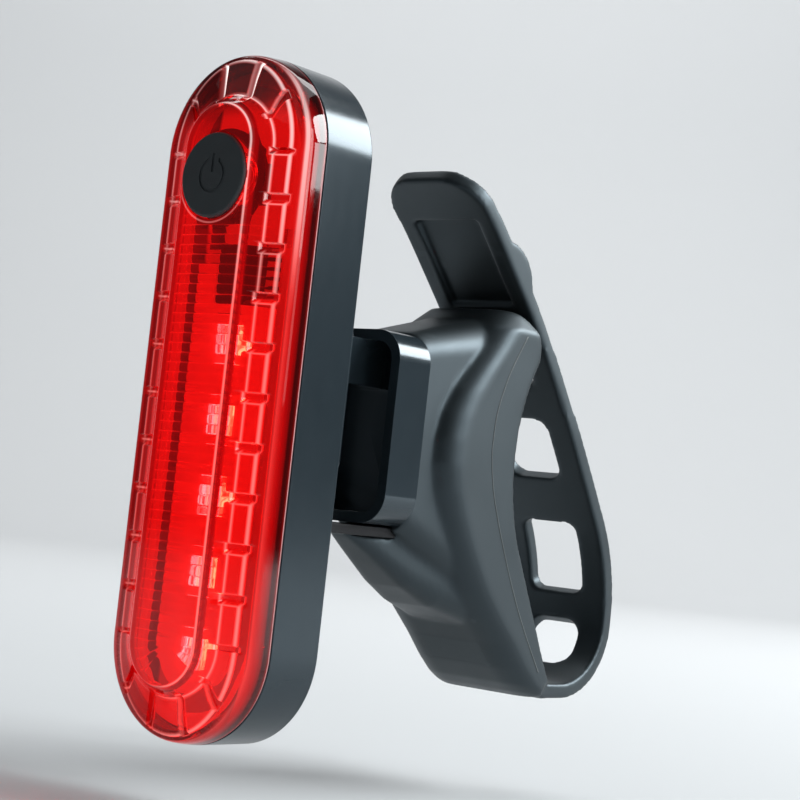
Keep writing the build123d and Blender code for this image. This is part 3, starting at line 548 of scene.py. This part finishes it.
def lens_outside(c, s, centre, past):
    """Rows of points of the lens's outside, with the painted highlight and painted shade of each point.

    The camera sees the lens from its right, where its edges get painted highlights. The left gets painted
    shade.
    """
    right = rightness(c)
    left = 1 - right
    slit = smooth_step(*SLIT_START, past) * (1 - smooth_step(*SLIT_END, past))
    # Painted highlights: along the edges of the slits on the right, short marks at the slits on the left,
    # bars between the top blocks, and the wall's crest
    painted_lip_highlights = right * np.maximum(0.55 * bell(past, 0.49, 0.07), 0.8 * bell(past, -0.7, 0.11))
    painted_ticks = left * 0.8 * bell(past, 0, 0.13)
    painted_top_bars = 2.4 * bell(past, 0, 0.3) * smooth_step(*TOP_PAINTED_BARS, centre + BAR_REACH * s)
    crest_painted_highlight = 0.85 * smooth_step(0.2, 0.8, c)
    points, glow, painted_shade = [], [], []
    for half, reach, y, share, shine, slit_shine, dark in OUTER:
        z = centre + reach * s
        points.append(np.stack([half * c, y + SLIT_DEPTH * share * slit, z], 1))
        edge = shine * (1 - slit) + slit_shine * slit
        edge = edge * (0.5 + 0.5 * right if between(SHOULDER, half) else right)
        if between(CREST, half):
            edge = np.maximum(edge, crest_painted_highlight * smooth_step(*CREST_HIGHLIGHT_RISE, z))
        marks = np.maximum(painted_lip_highlights, painted_top_bars) * share
        if between(BLOCK_ENDS, half):
            marks = marks + painted_ticks
        glow.append(np.maximum(edge, marks))
        # Painted shade: darker on the left, on the top blocks and on the slits' floors
        shade = np.maximum(dark, left * (0.75 if between(RING, half) else 0.45))
        if between(BLOCK_TOPS, half):
            shade = np.maximum(shade, smooth_step(*TOP_PAINTED_SHADE, centre + half * s))
        painted_shade.append(np.maximum(shade, 0.5 * slit * share))
    return points, glow, painted_shade


def lens_inside(c, s, centre):
    """The same for its inside, with flutes across the window and up the ring's right side, painted highlight
    lines on the flutes' cusps and painted shade on the left of the inner slope.
    """
    right = rightness(c)
    left = 1 - right
    points, glow, painted_shade = [], [], []
    for half, reach, y, share in INNER:
        z = centre + reach * s
        fluted = share * smooth_step(*FLUTES_LOW, z) * (1 - smooth_step(*FLUTES_HIGH, z))
        if half > RING[0]:
            fluted = fluted * right
        off_cusp = np.abs(z - np.round(z / FLUTE_PITCH) * FLUTE_PITCH)
        cusp = bell(off_cusp, 0, CUSP_WIDTH)
        hollow = 1 - (1 - 2 * off_cusp / FLUTE_PITCH) ** 2
        points.append(np.stack([half * c, y + fluted * (HOLLOW * hollow - CUSP * cusp), z], 1))
        # Painted highlight lines along the cusps, stronger on the left, and painted shade on the left of the
        # slope inside the ring
        glow.append((0.3 + 0.5 * left * (half > 2)) * fluted * cusp)
        painted_shade.append(left * 0.5 * between(INNER_SLOPE, half))
    return points, glow, painted_shade


def lens_mesh(step):
    """The closed lens: its outside, and its inside joined to it along the wall's back edge."""
    c, s, centre, past = stations(step).T
    points, glow, painted_shade = (a + b for a, b in zip(lens_outside(c, s, centre, past), lens_inside(c, s, centre)))
    work = bmesh.new()
    # The painted highlights and painted shade are kept on the mesh as attributes, which the lens's material
    # reads
    layers = [work.verts.layers.float.new(name) for name in ("painted_edge_glow", "painted_shade")]
    for p, *values in zip(rows(np.concatenate(points)), np.concatenate(glow), np.concatenate(painted_shade)):
        vert = work.verts.new(p)
        for layer, value in zip(layers, values):
            vert[layer] = value
    work.verts.ensure_lookup_table()
    outer, count, n = len(OUTER), len(points), len(c)
    order = list(range(outer)) + list(range(count - 1, outer - 1, -1))
    for a, b in zip(order, order[1:] + order[:1]):
        if a == outer - 1:
            continue
        for k in range(n):
            after = (k + 1) % n
            corners = (a * n + k, a * n + after, b * n + after, b * n + k)
            work.faces.new([work.verts[i] for i in corners])
    bmesh.ops.remove_doubles(work, verts=work.verts, dist=WELD)
    bmesh.ops.recalc_face_normals(work, faces=work.faces)
    mesh = bpy.data.meshes.new("lens")
    work.to_mesh(mesh)
    work.free()
    return mesh


def disc_drill(radius, low, high, sides=96):
    """A closed cylinder along Y on the button's axis."""
    points = [(radius * cos(2 * pi * k / sides), y, BUTTON_Z + radius * sin(2 * pi * k / sides))
              for k in range(sides) for y in (low, high)]
    faces = [(2 * k, 2 * ((k + 1) % sides), 2 * ((k + 1) % sides) + 1, 2 * k + 1) for k in range(sides)]
    faces += [tuple(range(0, 2 * sides, 2)), tuple(range(2 * sides - 1, 0, -2))]
    mesh = mesh_of("drill", rows(points), faces, False)
    work = bmesh.new()
    work.from_mesh(mesh)
    bmesh.ops.recalc_face_normals(work, faces=work.faces)
    work.to_mesh(mesh)
    work.free()
    return placed("drill", mesh)


def make_lens():
    """The ribbed lens with its hole for the button."""
    blank = placed("lens_blank", lens_mesh(0.13))
    drill = disc_drill(BUTTON_HOLE, -2.0, 8.0)
    cut = blank.modifiers.new("cut", "BOOLEAN")
    cut.object = drill
    cut.operation = "DIFFERENCE"
    cut.solver = "MANIFOLD"
    mesh = applied(blank)
    mesh.polygons.foreach_set("use_smooth", [True] * len(mesh.polygons))
    mesh.set_sharp_from_angle(angle=radians(50))
    for used in (blank, drill):
        bpy.data.objects.remove(used)
    piece("lens_ribbed", mesh, "red_lens", "light", ["front_lens"])


def make_rim():
    """The white frame round the reflector, whose painted glow, emission in its material, stands for the
    lamps' light spreading into the lens's ring.
    """
    # Radius of the round ends, which is also the half width, and depth
    profile = ((9.3, 5.9), (9.3, 5.35), (9.15, 5.2), (7.9, 5.2), (7.65, 5.3), (7.5, 5.9))
    turns = np.linspace(-pi / 2, pi / 2, 25)
    ring = [(t + end * pi / 2, end * END_CENTRE) for end in (1, -1) for t in turns]
    c, s, centre = np.array([(cos(turn), sin(turn), height) for turn, height in ring]).T
    points = [np.stack([radius * c, np.full(len(ring), y), centre + radius * s], 1) for radius, y in profile]
    n, layers = len(ring), len(profile)
    faces = []
    for a in range(layers):
        b = (a + 1) % layers
        for k in range(n):
            after = (k + 1) % n
            faces.append((a * n + k, a * n + after, b * n + after, b * n + k))
    mesh = mesh_of("rim", rows(np.concatenate(points)), faces)
    mesh.set_sharp_from_angle(angle=radians(40))
    piece("reflector_rim", mesh, "rim", "light")


make_lens()
make_rim()


# Other pieces of the light and the mount, each with the radius of its edges, in mm, and the steps round them

softened("rear_housing", "slate", 0.3, 4)
softened("rear_clip", "slate", 0.22, 3)
softened("power_button", "button", 0.07, 2)
softened("port_flap", "button", 0.12, 3)
softened("battery_cell", "foil", 0.3, 3)
softened("mount_tongue", "black_steel", 0.15, 2)
softened("strap_hook", "black", 0.35, 3)


# Rubber mount and strap

# Depths between which the rubber bends, the height under which it does, and the size of the remesh's voxels
ROOT = (57.6, 63.2)
ROOT_TOP = -25.0
VOXEL = 0.3


def rounded_rubber():
    """Saddle and strap as one skin, rounded all over."""
    source = copy_of("saddle_block", "strap")
    remesh = source.modifiers.new("remesh", "REMESH")
    remesh.mode = "VOXEL"
    remesh.voxel_size = VOXEL * MM
    soft = source.modifiers.new("soft", "SMOOTH")
    soft.factor = 0.5
    soft.iterations = 7
    mesh = applied(source)
    bpy.data.objects.remove(source)
    return mesh


def point_tree(node, spacing=1.2):
    """Points all over a CAD node for finding the nearest: its corners, after its long edges are divided."""
    work = bmesh.new()
    work.from_mesh(frame["nodes"][node].data)
    bmesh.ops.triangulate(work, faces=work.faces)
    for _ in range(4):
        long = [e for e in work.edges if e.calc_length() > spacing * MM]
        if not long:
            break
        bmesh.ops.subdivide_edges(work, edges=long, cuts=1)
        bmesh.ops.triangulate(work, faces=work.faces)
    tree = KDTree(len(work.verts))
    for i, v in enumerate(work.verts):
        tree.insert(v.co, i)
    tree.balance()
    work.free()
    return tree


def split_rubber(mesh):
    """The skin parted at the root, where the rubber bends, into saddle, strap and root."""
    to_strap, to_saddle = point_tree("strap"), point_tree("saddle_block")

    def kind_of(point):
        depth, height = point.y / MM + SEAT_Y, point.z / MM + SEAT_Z
        if height >= ROOT_TOP:
            return "strap" if to_strap.find(point)[2] < to_saddle.find(point)[2] else "saddle"
        if depth <= ROOT[0]:
            return "saddle"
        return "strap" if depth >= ROOT[1] else "root"

    kinds = [kind_of(v.co) for v in mesh.vertices]
    parts = {"saddle": [], "strap": [], "root": []}
    for p in mesh.polygons:
        touched = {kinds[i] for i in p.vertices}
        parts[next(kind for kind in ("root", "strap", "saddle") if kind in touched)].append(p)
    normals = [tuple(v.normal) for v in mesh.vertices]
    made = {}
    for name, polygons in parts.items():
        used = sorted({i for p in polygons for i in p.vertices})
        index = {old: new for new, old in enumerate(used)}
        faces = [[index[i] for i in p.vertices] for p in polygons]
        part = mesh_of(name, [mesh.vertices[i].co for i in used], faces)
        part.normals_split_custom_set_from_vertices([normals[i] for i in used])
        made[name] = part
    return made


parts = split_rubber(rounded_rubber())
saddle = piece("saddle_rubber", parts["saddle"], "rubber", "mount", ["saddle_block"])
piece("strap_rubber", parts["strap"], "rubber", "strap", ["strap"])
root = placed("strap_root", parts["root"])
wear(root, "rubber")
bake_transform(root)


# Line that the mould's halves leave down the saddle's side, read off the photograph through its camera:
# height and depth of its points, then how far across and how high the points of its section lie
PARTING = ((-28.2, 57.4), (-24.5, 54.5), (-20.5, 51.6), (-16, 48.9), (-11, 46.2), (-6.5, 44.1), (-2, 43.0),
           (3, 43.2), (8, 45.0), (12.8, 47.9))
PARTING_SECTION = ((-0.14, -0.08), (-0.08, 0.04), (0.0, 0.07), (0.08, 0.04), (0.14, -0.08))


def parting_line():
    """The fine raised line that the mould leaves on the saddle's sides, a little in from the seat."""
    height, depth = np.array(PARTING).T
    z = np.linspace(height[0], height[-1], 84)
    y = np.interp(z, height, depth)
    for _ in range(12):
        y[1:-1] = (y[:-2] + 2 * y[1:-1] + y[2:]) / 4
    path = np.stack([y, z], 1)
    along = np.gradient(path, axis=0)
    along /= np.linalg.norm(along, axis=1)[:, None]
    across = np.stack([-along[:, 1], along[:, 0]], 1)
    mesh = saddle.data
    skin = BVHTree.FromPolygons([v.co for v in mesh.vertices], [p.vertices for p in mesh.polygons])
    n = len(PARTING_SECTION)
    points, faces = [], []
    for side in (1, -1):
        first = len(points)
        for (y, z), (dy, dz) in zip(path, across):
            found = skin.ray_cast(at(side * 14, y, z), (-side, 0, 0))[0]
            points += [(found.x / MM + side * h, y + dy * w, z + dz * w) for w, h in PARTING_SECTION]
        for k in range(len(path) - 1):
            for j in range(n - 1):
                a = first + k * n + j
                faces.append((a, a + 1, a + 1 + n, a + n))
        faces += [tuple(range(first, first + n)), tuple(range(len(points) - n, len(points)))]
    piece("parting_line", mesh_of("parting_line", rows(points), faces), "rubber_line", "mount")


parting_line()


# Studio, in metres and degrees

# The floor lies under the opened strap
FLOOR_LEVEL = -0.0425
# The backdrop: its turn about Z, which sets it square to the camera, the floor's front edge, the wall's
# distance and top, half the width, and the radius of the bend between floor and wall
BACKDROP_TURN = Matrix.Rotation(radians(39.7), 4, "Z")
FLOOR_FRONT, WALL, WALL_TOP, HALF_WIDTH, BEND = -3.5, 1.2, 1.6, 3.5, 0.35
# Lamps: azimuth and elevation they shine from, distance, width and height, power and colour
COOL = (0.95, 0.99, 1.0)
LAMPS = {
    "key_back_right": ((139, 32), 0.9, (0.7, 0.36), 12.5, COOL),
    "low_right": ((122, 14.8), 0.9, (0.32, 0.13), 1.1, COOL),
    "side_right": ((95, 20), 0.9, (0.24, 0.38), 1.6, COOL),
    "side_right_low": ((95, 5.5), 0.9, (0.24, 0.08), 0.08, COOL),
    "high_right": ((140, 72), 0.9, (0.6, 0.5), 1.2, (0.9, 0.97, 1.0)),
    "fill_front_left": ((-35, 35), 0.9, (0.6, 0.6), 0.2, (1, 1, 1)),
    "backdrop_wash": ((219.7, 62), 1.0, (1.4, 0.5), 9.0, (1, 1, 1)),
}


def direction(azimuth, elevation):
    """The direction of an azimuth and elevation, in radians, as seen from the part."""
    return Vector((sin(azimuth) * cos(elevation), -cos(azimuth) * cos(elevation), sin(elevation)))


def backdrop():
    """Floor and wall in one sheet, with a bend between them."""
    look = Look("studio_floor", (0.56, 0.57, 0.58), 0.75)
    look.feed("Base Color", look.blend(look.noise(3.0), (0.55, 0.56, 0.57), (0.57, 0.58, 0.59)))
    start = WALL - BEND
    profile = [(FLOOR_FRONT, FLOOR_LEVEL), (start - 0.3, FLOOR_LEVEL), (start, FLOOR_LEVEL + 1e-5)]
    for turn in np.linspace(0.1, pi / 2, 12):
        profile.append((start + BEND * sin(turn), FLOOR_LEVEL + BEND * (1 - cos(turn))))
    profile.append((WALL, WALL_TOP))
    sides = (-HALF_WIDTH, HALF_WIDTH)
    points = [BACKDROP_TURN @ Vector((x, depth, height)) for depth, height in profile for x in sides]
    faces = [(2 * k, 2 * k + 1, 2 * k + 3, 2 * k + 2) for k in range(len(profile) - 1)]
    obj = placed("studio_floor", mesh_of("studio_floor", points, faces))
    obj.data.materials.append(look.material)


def lamps():
    """Rectangular lamps that face the part, and one that faces the wall."""
    for name, (seen_at, distance, size, power, colour) in LAMPS.items():
        data = bpy.data.lights.new(name, "AREA")
        data.shape = "RECTANGLE"
        data.size, data.size_y = size
        data.energy = power
        data.color = colour
        obj = placed(name, data)
        obj.location = distance * direction(*(radians(a) for a in seen_at))
        target = BACKDROP_TURN @ Vector((0, WALL, 0.1)) if name == "backdrop_wash" else Vector((0, 0, 0))
        obj.rotation_euler = (target - obj.location).to_track_quat("-Z", "Y").to_euler()


def dim_world():
    """A dim cool light from all round."""
    world = bpy.data.worlds.new("studio")
    world.use_nodes = True
    sky = world.node_tree.nodes["Background"]
    sky.inputs["Color"].default_value = (0.85, 0.93, 1.0, 1)
    sky.inputs["Strength"].default_value = 0.07
    bpy.context.scene.world = world


# Camera of the photograph: where it stands in the light's frame, in mm, and its azimuth, elevation and roll
CAMERA_AT = (153.0, -149.32, -10.71)
CAMERA_TURN = (39.69, -3.306, 6.224)


def camera():
    data = bpy.data.cameras.new("photo_camera")
    data.lens = 90.0
    data.sensor_width = 36.0
    data.clip_start, data.clip_end = 0.01, 20.0
    obj = placed("photo_camera", data)
    azimuth, elevation, roll = (radians(a) for a in CAMERA_TURN)
    back = direction(azimuth, elevation)
    level = Vector((cos(azimuth), sin(azimuth), 0))
    upright = back.cross(level)
    right = level * cos(roll) + upright * sin(roll)
    up = upright * cos(roll) - level * sin(roll)
    place = at(*CAMERA_AT)
    obj.matrix_world = Matrix((
        (right.x, up.x, back.x, place.x), (right.y, up.y, back.y, place.y), (right.z, up.z, back.z, place.z),
        (0, 0, 0, 1)))
    bpy.context.scene.camera = obj


backdrop()
dim_world()
lamps()
camera()
bpy.context.scene.view_settings.view_transform = "Standard"
